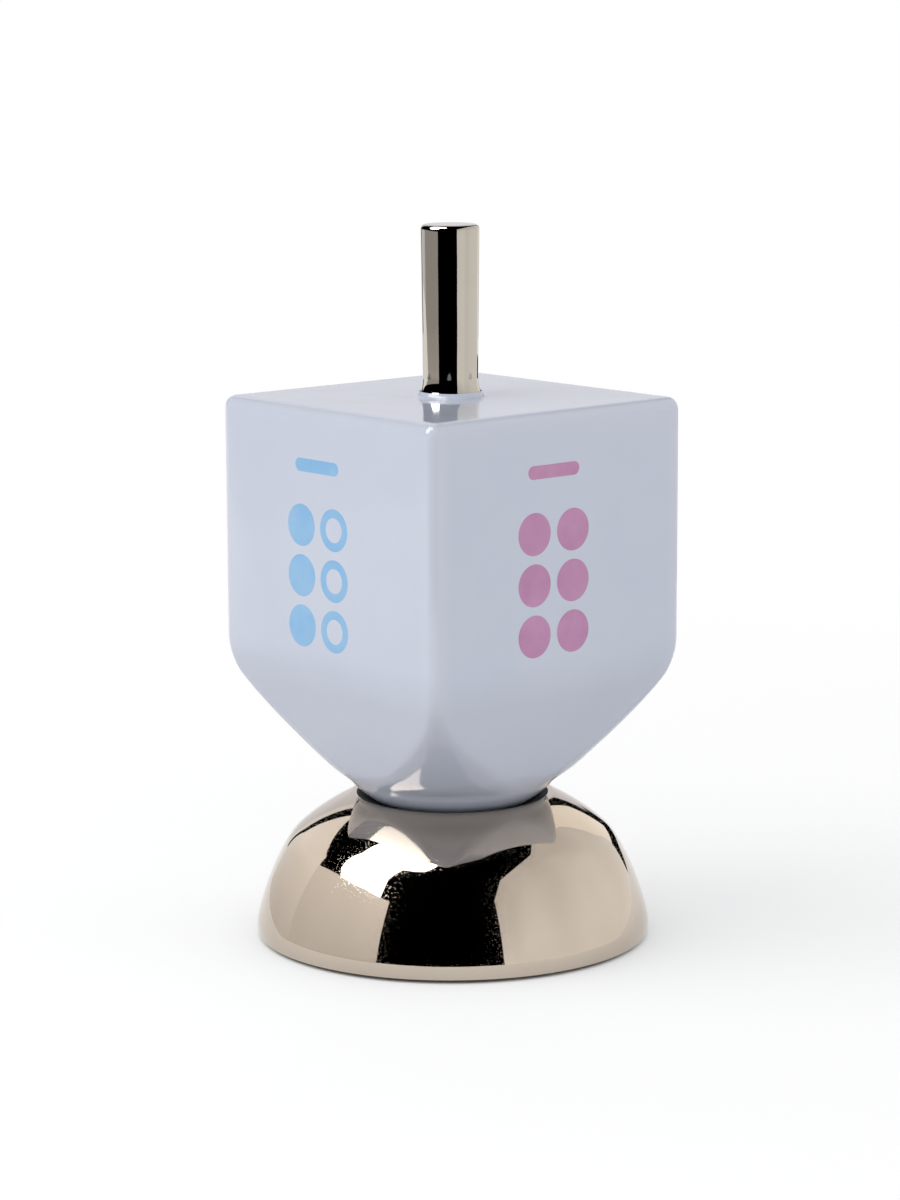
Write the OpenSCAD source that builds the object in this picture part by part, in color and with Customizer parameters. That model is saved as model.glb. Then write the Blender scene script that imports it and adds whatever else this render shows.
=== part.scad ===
// A porcelain dreidel with a metal stem, standing in a low polished dome.
// Millimetres, +Z up. The origin is on the table, under the middle of the stand.
// The four faces of the body look along +X, -Y, -X and +Y.

/* [Body] */
// Width of the body across its flat faces
body_w = 64; // [56:1:72]
// Height of the square part, above the bend into the taper
box_h = 47; // [40:1:60]
// Height of the taper, from the bend down to the seat line
taper_h = 31.2; // [27:0.2:38]
// Radius of the round seat line, where the body comes down to the stand
seat_line_r = 18; // [15:0.1:19]
// Radius of the soft bend between the square part and the taper
bend_r = 20.5; // [14:0.5:26]
// Height above the seat line up to which the bottom's bowl reaches
bowl_h = 6.5; // [4:0.5:10]
// Radius of the rounded edges of the square part
edge_r = 2.4; // [1.2:0.2:4]
// Radius of the ball that shapes the bottom below the seat line
bottom_r = 29; // [25:0.5:34]
// Radius of the flat in the middle of the bottom
bottom_flat_r = 7; // [6.6:0.1:8]
// Thickness of the porcelain
body_wall = 4; // [3:0.5:6]
// Height of the raised collar round the stem
collar_h = 1; // [0.7:0.1:2]
// Width of the hollow fillet at the collar's foot
collar_w = 1.1; // [0.6:0.1:2]
// Width of the collar's lip round the stem's foot
collar_lip = 0.25; // [0.2:0.05:0.6]
// Depth of the recess in the collar that takes the stem's gasket and foot
collar_sink = 0.5; // [0.3:0.05:0.6]
// Clearance round the stem's foot in the recess
collar_fit = 0.1; // [0.05:0.05:0.2]

/* [Stem] */
// Diameter of the stem at its top
stem_d = 11.4; // [10:0.2:14]
// Diameter of the stem at its waist, above the flared foot
stem_waist_d = 10.8; // [9.4:0.2:13]
// Diameter of the stem's flared foot
stem_foot_d = 11.8; // [11:0.2:15]
// Height of the flare at the stem's foot
stem_flare_h = 2.9; // [1:0.1:4]
// Height of the stem above its gasket
stem_h = 32.6; // [24:0.2:44]
// Radius of the rounded edge at the stem's top
stem_round = 0.9; // [0.3:0.1:2]
// Diameter of the spigot that enters the body
stem_spigot_d = 8; // [7:0.2:9]
// Length of the spigot below the gasket
stem_spigot_l = 4.2; // [2:0.2:6]

/* [Tip] */
// Diameter of the tip
tip_d = 12; // [10.4:0.2:13]
// Height of the straight rim of the tip
tip_rim_h = 1.2; // [0.6:0.1:2]
// Height of the round nose below the rim
tip_nose_h = 3.8; // [2.5:0.1:5]
// Diameter of the spigot that enters the body
tip_spigot_d = 8; // [7:0.2:9]
// Length of the spigot above the body's bottom
tip_spigot_l = 3.2; // [2:0.2:6]

/* [Tie rod] */
// Diameter of the threaded rod
rod_d = 4; // [3:0.5:5]
// Depth of the rod in the stem, from the end of the stem's spigot
rod_in_stem = 12; // [8:1:20]
// Depth of the rod in the tip, from the end of the tip's spigot
rod_in_tip = 5.6; // [4:0.2:7]
// Clearance round the rod in its two threads
rod_fit = 0.1; // [0.05:0.05:0.2]

/* [Gaskets] */
// Thickness of the two gaskets
gasket_t = 0.25; // [0.15:0.05:0.6]
// How far the gaskets' edges stay inside the metal above or below them
gasket_inset = 0.3; // [0.2:0.1:0.6]
// Clearance round each spigot, in its hole and its gasket
spigot_fit = 0.3; // [0.1:0.05:0.4]

/* [Marks] */
// Thickness of the fired colour on the faces
mark_t = 0.12; // [0.08:0.02:0.3]
// Diameter of one coin in a mark
coin_d = 8.2; // [6:0.2:9]
// Distance between the coins of a mark
coin_pitch = 9.8; // [9.2:0.1:10.4]
// Line width of an empty coin
coin_line = 1.7; // [1:0.1:2.5]
// Height of a mark's lowest coin above the bend
mark_rise = 0.4; // [0.2:0.1:2]
// Sideways place of a mark on its face, to the right as seen from the front
mark_shift = -2; // [-6:0.5:6]
// Length of the short bar above a mark
bar_l = 13; // [8:0.5:20]
// Width of the short bar above a mark
bar_w = 2.6; // [1.6:0.2:4]
// Height of the short bar's middle above its mark
bar_rise = 7.6; // [4:0.2:8]

/* [Stand] */
// Widest diameter of the stand
stand_d = 78; // [72:1:90]
// Height of the stand's foot above the table, carried on the felt
foot_gap = 0.8; // [0.4:0.1:1.2]
// Height of the widest line above the foot
widest_h = 1.6; // [1:0.1:3]
// Radius of the roll at the foot, up to the flank
roll_r = 8; // [7:0.5:12]
// Radius of the flank
flank_r = 52; // [44:1:60]
// Radius of the shoulder
shoulder_r = 13.5; // [12:0.5:18]
// Radius of the crown round the seat
crown_r = 45; // [40:1:52]
// Thickness of the stand's shell
shell_t = 2.8; // [2:0.2:3.6]
// Slope at which the roll runs into the flank
roll_end = 13; // [10:1:16]
// Slope at which the flank runs into the shoulder
flank_end = 30; // [26:1:33]
// Slope at which the shoulder runs into the crown
shoulder_end = 50; // [46:1:54]

/* [Seat] */
// Clearance between the body's bottom and the metal of the seat
seat_gap = 0.6; // [0.4:0.1:1]
// Thickness of the seat's wall
seat_t = 2.2; // [1.6:0.2:3]
// Clearance round the tip in its well
well_gap = 1.4; // [0.8:0.1:2]
// Inner radius of the cushion ring
ring_in_r = 10.2; // [9.6:0.1:11]
// Outer radius of the cushion ring
ring_out_r = 14; // [13:0.1:15]
// Depth of the ring's groove below the seat, at the ring's inner edge
ring_sink = 1.4; // [0.8:0.1:1.8]
// Clearance between the body's bottom and the ring
ring_gap = 0.3; // [0.2:0.05:0.4]
// Clearance between the ring and the sides of its groove
groove_fit = 0.2; // [0.1:0.05:0.3]

/* [Base] */
// Thickness of the weight disc
plate_t = 2.2; // [1.9:0.1:3]
// Depth of the weight disc inside the foot
plate_sink = 0.5; // [0.2:0.1:1]
// Ledge in the shell that the weight disc bears on
plate_ledge = 1; // [0.5:0.1:1.2]
// Clearance round the weight disc
plate_fit = 0.2; // [0.1:0.05:0.3]
// How far the felt stays inside the weight disc
felt_inset = 0.4; // [0.2:0.1:1.5]
// Diameter of the base screw
screw_d = 4; // [3:0.5:5]
// Length of the base screw in its boss
screw_grip = 8; // [6:0.5:9]
// Diameter of the screw's countersunk head
screw_head_d = 7.6; // [6.4:0.2:9]
// Height of the screw's countersunk head
screw_head_h = 1.6; // [1.2:0.1:1.8]
// Clearance round the screw in the boss and in the weight disc
screw_fit = 0.1; // [0.05:0.05:0.2]
// Width across the screw's hexagon socket
socket_w = 2; // [1.5:0.1:2.4]
// Depth of the screw's hexagon socket
socket_h = 1.2; // [0.8:0.1:1.5]
// Wall of the boss round the screw
boss_wall = 3; // [2:0.2:4]

/* [Hidden] */

// Segments of a full turn on round pieces
$fn = 96;
// How far every cut runs past the face that it opens
overrun = 1;

// Segments in each corner of a body section
corner_steps = 8;
// Sections in the bottom, the taper and the rounded top edge
bottom_steps = 5;
taper_steps = 26;
top_steps = 5;
// Share of the taper's height over which its ridges keep the edge radius
ridge_share = 0.235;
// How quickly the ridges grow round below that
ridge_power = 1.5;
// Share of the taper's height, up from the seat line, where the section is round
ridge_end_share = 0.09;
// Number of halvings that find the taper's slope
halvings = 40;
// Share of a round section's half width that its corner radius takes
round_share = 0.98;
// Share of the edge radius that is left in the corners of the flat top
top_corner_share = 0.15;
// Share of the seat line's radius at which the crown's arc ends, inside the seat
rim_share = 0.5;
// Share of the porcelain's thickness that is added to it on the taper
taper_wall_share = 0.2;

// Stand outline: the centres of its arcs, each tangent to the one before
function dir(a) = [cos(a), sin(a)];
widest_z = foot_gap + widest_h;
roll_c = [stand_d / 2 - roll_r, widest_z];
flank_c = roll_c + (roll_r - flank_r) * dir(roll_end);
shoulder_c = flank_c + (flank_r - shoulder_r) * dir(flank_end);
crown_c = shoulder_c + (shoulder_r - crown_r) * dir(shoulder_end);
function crown_z(r) = crown_c[1] + sqrt(pow(crown_r, 2) - pow(r - crown_c[0], 2));

// Heights of the dreidel, up from the seat line
seat_z = crown_z(seat_line_r);
bend_z = seat_z + taper_h;
body_top = bend_z + box_h;
collar_top = body_top + collar_h;
stem_seat_z = collar_top - collar_sink;
half_w = body_w / 2;
ball_z = seat_z + sqrt(pow(bottom_r, 2) - pow(seat_line_r, 2));
bottom_z = ball_z - sqrt(pow(bottom_r, 2) - pow(bottom_flat_r, 2));
tip_top = bottom_z - gasket_t;
tip_end = tip_top - tip_rim_h - tip_nose_h;
stem_base = stem_seat_z + gasket_t;
rod_low = bottom_z + tip_spigot_l - rod_in_tip;
rod_high = stem_seat_z - stem_spigot_l + rod_in_stem;

// Radius of the recess in the collar
recess_r = stem_foot_d / 2 + collar_fit;

// Slope of the taper's faces from upright, tangent to the bend above and to the bowl below
seat_slope = acos(seat_line_r / bottom_r);
function taper_miss(a) =
    half_w - bend_r * (1 - cos(a)) - seat_line_r - bowl_h * tan((a + seat_slope) / 2)
    - tan(a) * (taper_h - bowl_h - bend_r * sin(a));
function taper_root(low, high, left) =
    let (mid = (low + high) / 2)
    left == 0 ? mid
    : taper_miss(mid) > 0 ? taper_root(mid, high, left - 1)
    : taper_root(low, mid, left - 1);
taper_slope = taper_root(0, seat_slope, halvings);
bend_low = bend_z - bend_r * sin(taper_slope);

// Bowl between the taper's faces and the seat line, tangent to both
bowl_top = seat_z + bowl_h;
bowl_r = bowl_h / (sin(seat_slope) - sin(taper_slope));
bowl_c = [seat_line_r - bowl_r * cos(seat_slope), seat_z + bowl_r * sin(seat_slope)];
function bowl_width(z) = bowl_c[0] + sqrt(pow(bowl_r, 2) - pow(bowl_c[1] - z, 2));
round_z = seat_z + ridge_end_share * taper_h;

// Heights of the marks on the faces
mark_z = bend_z + mark_rise + coin_d / 2 + coin_pitch;
bar_z = mark_z + coin_pitch + coin_d / 2 + bar_rise;

// Heights inside the stand
well_r = tip_d / 2 + well_gap;
well_z = tip_end - well_gap;
seat_ball_r = bottom_r + seat_gap;
groove_z = ball_z - sqrt(pow(seat_ball_r, 2) - pow(ring_in_r, 2)) - ring_sink;
plate_low = foot_gap + plate_sink;
plate_top = plate_low + plate_t;
plate_seat_r = stand_d / 2 - shell_t + plate_ledge;
plate_r = plate_seat_r - plate_fit;
boss_r = screw_d / 2 + screw_fit + boss_wall;
screw_top = plate_top + screw_grip;

// Half width of the body's section at height z, in the taper and above
function width_at(z) =
    z >= bend_z ? half_w
    : z >= bend_low ? half_w - bend_r + sqrt(pow(bend_r, 2) - pow(bend_z - z, 2))
    : z >= bowl_top ? bowl_width(bowl_top) + (z - bowl_top) * tan(taper_slope)
    : bowl_width(z);

// Corner radius of the body's section at height z, in the taper and above
function ridge_at(z) =
    let (down = (bend_z - z) / taper_h, t = (down - ridge_share) / (1 - ridge_share - ridge_end_share))
    edge_r + (width_at(round_z) - edge_r) * pow(max(0, min(1, t)), ridge_power);

// Sections of the body as [half width, corner radius, height], from the bottom up
function bottom_sections(inset) =
    let (r = bottom_r - inset, low = asin(bottom_flat_r / bottom_r), high = asin(seat_line_r / bottom_r))
    [for (i = [0 : bottom_steps - 1])
        let (a = low + (high - low) * i / bottom_steps, w = r * sin(a))
        [w, w * round_share, ball_z - r * cos(a)]];

function taper_sections(inset) =
    let (side = inset * (1 + taper_wall_share),
         low = ball_z - (bottom_r - inset) * sqrt(1 - pow(seat_line_r / bottom_r, 2)))
    [for (i = [0 : taper_steps])
        let (z = low + (bend_z - low) * i / taper_steps, w = width_at(z) - side)
        [w, min(max(ridge_at(z) - inset, edge_r), w * round_share), z]];

function top_sections(inset) =
    let (w = half_w - inset * (1 + taper_wall_share), top = body_top - inset)
    [for (i = [0 : top_steps])
        let (a = i * 90 / top_steps, c = edge_r * max(cos(a), top_corner_share))
        [w - edge_r * (1 - cos(a)), c, top - edge_r * (1 - sin(a))]];

function section_points(s) =
    [for (q = [0 : 3], i = [0 : corner_steps])
        let (a = 90 * (q + i / corner_steps), m = (s[0] - s[1]) * sqrt(2))
        [m * cos(90 * q + 45) + s[1] * cos(a), m * sin(90 * q + 45) + s[1] * sin(a), s[2]]];

// Solid skinned over the body's sections, set in by a wall
module body_form(inset) {
    sections = concat(bottom_sections(inset), taper_sections(inset), top_sections(inset));
    n = 4 * (corner_steps + 1);
    last = len(sections) - 1;
    walls = [for (j = [0 : last - 1], i = [0 : n - 1])
        let (k = (i + 1) % n, low = j * n, up = low + n)
        each [[low + i, up + i, up + k], [low + i, up + k, low + k]]];
    floor_face = [for (i = [0 : n - 1]) i];
    roof_face = [for (i = [0 : n - 1]) last * n + n - 1 - i];
    polyhedron([for (s = sections) each section_points(s)], concat([floor_face], walls, [roof_face]));
}

// Raised collar with a hollow fillet at its foot, standing in the body's top wall
module collar() {
    foot_r = recess_r + collar_lip + collar_w;
    rotate_extrude()
    difference() {
        translate([0, body_top - body_wall / 2]) square([foot_r, body_wall / 2 + collar_h]);
        translate([foot_r, body_top]) hollow(collar_w, collar_h);
    }
}

module body() {
    color("whitesmoke")
    difference() {
        union() {
            body_form(0);
            collar();
        }
        body_form(body_wall);
        translate([0, 0, body_top - body_wall - overrun])
            cylinder(d = stem_spigot_d + 2 * spigot_fit, h = body_wall + collar_h + 2 * overrun);
        translate([0, 0, stem_seat_z]) cylinder(r = recess_r, h = collar_sink + overrun);
        translate([0, 0, bottom_z - overrun])
            cylinder(d = tip_spigot_d + 2 * spigot_fit, h = body_wall + 2 * overrun);
    }
}

module stem() {
    color("silver")
    difference() {
        union() {
            rotate_extrude() stem_outline();
            translate([0, 0, stem_seat_z - stem_spigot_l])
                cylinder(d = stem_spigot_d, h = stem_spigot_l + gasket_t);
        }
        translate([0, 0, rod_high - rod_in_stem - overrun])
            cylinder(d = rod_d + 2 * rod_fit, h = rod_in_stem + overrun);
    }
}

// Half section of the stem: rounded top edge, slight waist and flared foot
module stem_outline() {
    r = stem_d / 2;
    waist_r = stem_waist_d / 2;
    foot_r = stem_foot_d / 2;
    top = stem_base + stem_h;
    waist_z = stem_base + stem_flare_h;
    polygon([[0, stem_base], [waist_r, stem_base], [waist_r, waist_z], [r, top - stem_round],
             [r - stem_round, top - stem_round], [r - stem_round, top], [0, top]]);
    translate([r - stem_round, top - stem_round]) circle(stem_round);
    difference() {
        translate([0, stem_base]) square([foot_r, stem_flare_h]);
        translate([waist_r, waist_z]) rotate(-90) hollow(stem_flare_h, foot_r - waist_r);
    }
}

// Disc standing on the origin: cut from a corner, it leaves a hollow fillet of this reach and rise
module hollow(reach, rise) {
    radius = (pow(reach, 2) + pow(rise, 2)) / (2 * rise);
    translate([0, radius]) circle(radius);
}

// Washer round a spigot, its lower face at height z
module gasket(outer_d, spigot_d, z) {
    translate([0, 0, z])
    difference() {
        cylinder(d = outer_d - 2 * gasket_inset, h = gasket_t);
        translate([0, 0, -overrun])
            cylinder(d = spigot_d + 2 * spigot_fit, h = gasket_t + 2 * overrun);
    }
}

module stem_gasket() {
    color("dimgray") gasket(stem_foot_d, stem_spigot_d, stem_seat_z);
}

module tip_gasket() {
    color("dimgray") gasket(tip_d, tip_spigot_d, tip_top);
}

module tie_rod() {
    color("goldenrod")
    translate([0, 0, rod_low]) cylinder(d = rod_d, h = rod_high - rod_low);
}

module tip() {
    nose_base = tip_top - tip_rim_h;
    nose_r = (pow(tip_d / 2, 2) + pow(tip_nose_h, 2)) / (2 * tip_nose_h);
    color("silver")
    difference() {
        union() {
            translate([0, 0, nose_base]) cylinder(d = tip_d, h = tip_rim_h);
            translate([0, 0, tip_top]) cylinder(d = tip_spigot_d, h = gasket_t + tip_spigot_l);
            intersection() {
                translate([0, 0, tip_end + nose_r]) sphere(nose_r);
                translate([0, 0, tip_end]) cylinder(d = tip_d, h = tip_nose_h);
            }
        }
        translate([0, 0, rod_low])
            cylinder(d = rod_d + 2 * rod_fit, h = rod_in_tip + overrun);
    }
}

// Carries a flat drawing onto the face that looks along the given angle
module on_face(angle) {
    rotate([0, 0, angle + 90])
    translate([0, -half_w, 0])
    rotate([90, 0, 0])
    linear_extrude(mark_t)
    translate([mark_shift, 0]) children();
}

module full_coin() {
    circle(d = coin_d);
}

module empty_coin() {
    difference() {
        circle(d = coin_d);
        circle(d = coin_d - 2 * coin_line);
    }
}

// Bar with round ends, centred
module round_bar(length, width) {
    square([length - width, width], center = true);
    for (side = [-1, 1]) translate([side * (length - width) / 2, 0]) circle(d = width);
}

// Place of a coin in the field of two columns and three rows
module coin_at(column, row) {
    translate([(column - 1 / 2) * coin_pitch, mark_z + row * coin_pitch]) children();
}

// Short bar and six coins, with the given number of columns filled
module coin_field(full_columns) {
    translate([0, bar_z]) round_bar(bar_l, bar_w);
    for (column = [0, 1], row = [-1 : 1])
        coin_at(column, row)
            if (column < full_columns) full_coin();
            else empty_coin();
}

module mark_all() {
    color("plum") on_face(0) coin_field(2);
}

module mark_half() {
    color("lightskyblue") on_face(-90) coin_field(1);
}

module mark_none() {
    color("darkseagreen") on_face(180) coin_field(0);
}

// One coin over a chevron that points down into the pot
module mark_put_in() {
    stroke = coin_d / 2;
    arm = coin_pitch * sqrt(2) + stroke;
    color("khaki")
    on_face(90) {
        translate([0, bar_z]) round_bar(bar_l, bar_w);
        translate([0, mark_z + coin_pitch]) full_coin();
        for (side = [-1, 1])
            translate([side * coin_pitch / 2, mark_z - coin_pitch / 2])
                rotate(side * 45) round_bar(arm, stroke);
    }
}

module seat_ring() {
    color("dimgray")
    rotate_extrude()
    difference() {
        translate([ring_in_r, groove_z])
            square([ring_out_r - ring_in_r, ball_z - groove_z]);
        translate([0, ball_z]) circle(bottom_r + ring_gap);
    }
}

// The stretch of a disc that lies between two rays from the hub
module arc_piece(centre, radius, hub, from, to) {
    reach_share = 2;
    intersection() {
        translate(centre) circle(radius);
        polygon([hub, hub + reach_share * (from - hub), hub + reach_share * (to - hub)]);
    }
}

// Half section of the whole stand above its foot, set in by a wall
module stand_outline(inset) {
    foot_p = roll_c + (roll_r - inset) * dir(-asin(widest_h / (roll_r - inset)));
    flank_p = roll_c + (roll_r - inset) * dir(roll_end);
    shoulder_p = flank_c + (flank_r - inset) * dir(flank_end);
    crown_p = shoulder_c + (shoulder_r - inset) * dir(shoulder_end);
    rim_r = rim_share * seat_line_r;
    rim_p = crown_c + (crown_r - inset) * dir(acos((rim_r - crown_c[0]) / (crown_r - inset)));
    hub = [0, foot_gap];
    polygon([hub, foot_p, flank_p, shoulder_p, crown_p, rim_p, [0, rim_p[1]]]);
    arc_piece(roll_c, roll_r - inset, hub, foot_p, flank_p);
    arc_piece(flank_c, flank_r - inset, hub, flank_p, shoulder_p);
    arc_piece(shoulder_c, shoulder_r - inset, hub, shoulder_p, crown_p);
    arc_piece(crown_c, crown_r - inset, hub, crown_p, rim_p);
}

module stand_form(inset) {
    rotate_extrude() stand_outline(inset);
}

// Metal that stays inside the hollow stand: the seat's cup, the tip's well and the screw's boss
module seat_block() {
    translate([0, 0, ball_z]) sphere(seat_ball_r + seat_t);
    translate([0, 0, well_z - seat_t]) cylinder(r = well_r + seat_t, h = ball_z - well_z);
    translate([0, 0, groove_z - seat_t])
        cylinder(r = ring_out_r + groove_fit + seat_t, h = ball_z - groove_z);
    translate([0, 0, plate_top]) cylinder(r = boss_r, h = well_z - plate_top);
}

// Ring-shaped groove for the cushion ring, open upwards
module ring_groove() {
    translate([0, 0, groove_z])
    difference() {
        cylinder(r = ring_out_r + groove_fit, h = ball_z - groove_z);
        translate([0, 0, -overrun])
            cylinder(r = ring_in_r - groove_fit, h = ball_z - groove_z + 2 * overrun);
    }
}

module stand_dome() {
    color("silver")
    difference() {
        stand_form(0);
        difference() {
            stand_form(shell_t);
            seat_block();
        }
        translate([0, 0, ball_z]) sphere(seat_ball_r);
        translate([0, 0, well_z]) cylinder(r = well_r, h = ball_z - well_z);
        ring_groove();
        translate([0, 0, foot_gap - overrun])
            cylinder(r = plate_seat_r, h = plate_top - foot_gap + overrun);
        translate([0, 0, plate_top - overrun])
            cylinder(d = screw_d + 2 * screw_fit, h = screw_grip + overrun);
    }
}

module base_plate() {
    head_r = screw_head_d / 2 + screw_fit;
    hole_r = screw_d / 2 + screw_fit;
    color("dimgray")
    translate([0, 0, plate_low])
    difference() {
        cylinder(r = plate_r, h = plate_t);
        translate([0, 0, -overrun]) cylinder(r = hole_r, h = plate_t + 2 * overrun);
        cylinder(r1 = head_r, r2 = hole_r, h = screw_head_h);
    }
}

module base_screw() {
    color("gray")
    translate([0, 0, plate_low])
    difference() {
        union() {
            cylinder(d1 = screw_head_d, d2 = screw_d, h = screw_head_h);
            cylinder(d = screw_d, h = screw_top - plate_low);
        }
        translate([0, 0, -overrun])
            cylinder(d = socket_w / cos(30), h = socket_h + overrun, $fn = 6);
    }
}

module felt_pad() {
    color("darkslategray") cylinder(r = plate_r - felt_inset, h = plate_low);
}

body();
stem();
stem_gasket();
tie_rod();
tip();
tip_gasket();
mark_all();
mark_half();
mark_none();
mark_put_in();
seat_ring();
stand_dome();
base_plate();
base_screw();
felt_pad();
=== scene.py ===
import math

import bmesh
import bpy
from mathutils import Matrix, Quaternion, Vector, noise


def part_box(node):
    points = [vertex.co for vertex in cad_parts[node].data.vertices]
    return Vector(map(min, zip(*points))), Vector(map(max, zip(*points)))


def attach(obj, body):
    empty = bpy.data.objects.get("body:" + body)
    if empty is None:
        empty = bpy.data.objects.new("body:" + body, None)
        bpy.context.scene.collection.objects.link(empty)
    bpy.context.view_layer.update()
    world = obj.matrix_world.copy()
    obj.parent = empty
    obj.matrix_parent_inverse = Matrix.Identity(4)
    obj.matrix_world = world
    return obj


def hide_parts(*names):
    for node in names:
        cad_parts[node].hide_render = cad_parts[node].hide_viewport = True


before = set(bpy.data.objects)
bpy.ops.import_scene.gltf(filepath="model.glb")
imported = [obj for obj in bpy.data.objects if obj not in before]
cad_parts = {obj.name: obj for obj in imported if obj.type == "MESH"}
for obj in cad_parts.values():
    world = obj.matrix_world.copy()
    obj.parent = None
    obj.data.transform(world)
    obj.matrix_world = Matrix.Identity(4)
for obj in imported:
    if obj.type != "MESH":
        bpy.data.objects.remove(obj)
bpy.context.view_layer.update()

# Looks of a glazed porcelain dreidel that stands in a polished metal dome.
# Lengths are millimetres in the frame's axes and become metres where a mesh is made.

MM = 0.001
SCENE = bpy.context.scene


def box_mm(node):
    """Lowest and highest corner of a CAD node, in millimetres."""
    low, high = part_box(node)
    return low / MM, high / MM


# Heights and widths that the frame gives
body_low, body_high = box_mm("body")
stem_low, stem_high = box_mm("stem")
tip_low, tip_high = box_mm("tip")
plate_high = box_mm("base_plate")[1]
felt_low, felt_high = box_mm("felt_pad")
stand_low, stand_high = box_mm("stand_dome")

# Body
HALF_W = body_high.x
EDGE_R = 2.4
BEND_R = 20.5
TAPER_H = 31.2
SEAT_LINE_R = 18
BOTTOM_R = 29
BOTTOM_FLAT_R = 7
BODY_WALL = 4
TAPER_WALL = 4.8
BOWL_H = 6.5
RIDGE_SHARE = 0.235
ROUND_SHARE = 0.09
RIDGE_POWER = 1.5
COLLAR_H = 1
COLLAR_W = 1.1
COLLAR_LIP = 0.25
COLLAR_SINK = 0.5
COLLAR_FIT = 0.1
SPIGOT_HOLE_R = 4.3

# Stem
STEM_FOOT_R = stem_high.x
STEM_TOP_R = 5.7
STEM_WAIST_R = 5.4
STEM_FLARE_H = 2.9
STEM_ROUND = 0.9
GASKET_T = 0.25
SPIGOT_R = 4
ROD_HOLE_R = 2.1
ROD_IN_STEM = 12

# Tip
TIP_R = 6
TIP_RIM_H = 1.2
TIP_NOSE_H = 3.8
TIP_SPIGOT_L = 3.2
ROD_IN_TIP = 5.6

# Stand
STAND_R = stand_high.x
FOOT_Z = stand_low.z
WIDEST_H = 1.6
ROLL_R = 8
FLANK_R = 52
SHOULDER_R = 13.5
CROWN_R = 45
ROLL_END = 13
FLANK_END = 30
SHOULDER_END = 50
SHELL_T = 2.8
SEAT_GAP = 0.6
SEAT_T = 2.2
WELL_GAP = 1.4
RING_IN_R = 10.2
RING_OUT_R = 14
RING_SINK = 1.4
RING_GAP = 0.3
GROOVE_FIT = 0.2
PLATE_LEDGE = 1
SCREW_HOLE_R = 2.1
SCREW_GRIP = 8
BOSS_R = 5.1
RIM_ROUND = 3.2
RIM_STEPS = 14
# The rim's last steps take the near-black seat finish: painted shade for the gap round the dreidel's foot.
RIM_PAINTED_SHADE_STEPS = 8

# Marks on the faces
MARK_RISE = 0.4
MARK_SHIFT = -2
COIN_R = 4.1
COIN_PITCH = 9.8
COIN_LINE = 1.7
BAR_L = 13
BAR_R = 1.3
BAR_RISE = 7.6

# Heights worked out from these
COLLAR_TOP = body_high.z
BODY_TOP = COLLAR_TOP - COLLAR_H
BOTTOM_Z = body_low.z
BALL_Z = BOTTOM_Z + math.sqrt(BOTTOM_R ** 2 - BOTTOM_FLAT_R ** 2)
SEAT_Z = BALL_Z - math.sqrt(BOTTOM_R ** 2 - SEAT_LINE_R ** 2)
BEND_Z = SEAT_Z + TAPER_H
STEM_BASE = COLLAR_TOP - COLLAR_SINK + GASKET_T
STEM_TOP = stem_high.z
TIP_TOP = tip_high.z - TIP_SPIGOT_L - GASKET_T


# Mesh helpers

def link_mesh(name, points, faces, finishes=None, sharp_deg=40):
    """Smooth shaded closed mesh from points in millimetres, with hard edges past an angle."""
    mesh = bpy.data.meshes.new(name)
    mesh.from_pydata([Vector(p) * MM for p in points], [], faces)
    if finishes:
        mesh.polygons.foreach_set("material_index", finishes)
    work = bmesh.new()
    work.from_mesh(mesh)
    bmesh.ops.remove_doubles(work, verts=work.verts, dist=1e-7)
    bmesh.ops.dissolve_degenerate(work, edges=work.edges, dist=1e-8)
    bmesh.ops.recalc_face_normals(work, faces=work.faces)
    for face in work.faces:
        face.smooth = True
    for edge in work.edges:
        edge.smooth = edge.calc_face_angle(0) < math.radians(sharp_deg)
    work.to_mesh(mesh)
    work.free()
    piece = bpy.data.objects.new(name, mesh)
    SCENE.collection.objects.link(piece)
    return piece


def skin(rings, closed, first=0):
    """Faces between rings of matching points, numbered from a first point."""
    count = len(rings[0])
    faces = []
    for j in range(len(rings) if closed else len(rings) - 1):
        low, up = first + j * count, first + (j + 1) % len(rings) * count
        for i in range(count):
            k = (i + 1) % count
            faces.append((low + i, low + k, up + k, up + i))
    return faces


def loft(name, rings, closed=False, bands=None):
    """Skin over rings. A closed loft joins its last ring to its first. bands give each band's finish."""
    points = [p for ring in rings for p in ring]
    finishes = [finish for finish in bands for _ in rings[0]] if bands else None
    return link_mesh(name, points, skin(rings, closed), finishes)


def shells(name, parts):
    """One piece made of several separate skins, each given as its rings and whether it is closed."""
    points, faces = [], []
    for rings, closed in parts:
        faces += skin(rings, closed, len(points))
        points += [p for ring in rings for p in ring]
    return link_mesh(name, points, faces)


def lathe(name, profile, segments=192, closed=False, wobble=None, bands=None):
    """Turned piece from a profile of (radius, height). wobble gives an inward shift at a point."""
    rings = []
    for radius, z in profile:
        ring = []
        for i in range(segments):
            turn = math.tau * i / segments
            at = Vector((radius * math.cos(turn), radius * math.sin(turn), z))
            if wobble and radius > 0:
                at.xy *= 1 - wobble(at) / radius
            ring.append(at)
        rings.append(ring)
    return loft(name, rings, closed, bands)


def arc(centre, radius, start, end, steps):
    """Points on an arc in the half plane, from one angle to another in degrees."""
    turns = [math.radians(start + (end - start) * i / steps) for i in range(steps + 1)]
    return [(centre[0] + radius * math.cos(t), centre[1] + radius * math.sin(t)) for t in turns]


def crossing(first, second, low, high):
    """Distance from the axis at which two heights meet, by halving."""
    sign = first(low) > second(low)
    for _ in range(40):
        middle = (low + high) / 2
        if (first(middle) > second(middle)) == sign:
            low = middle
        else:
            high = middle
    return low


def bevel(piece, width, segments=2):
    """Breaks the hard edges of a piece."""
    cut = piece.modifiers.new("edge_break", "BEVEL")
    cut.width = width * MM
    cut.segments = segments
    cut.limit_method = "ANGLE"
    cut.angle_limit = math.radians(40)


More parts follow.
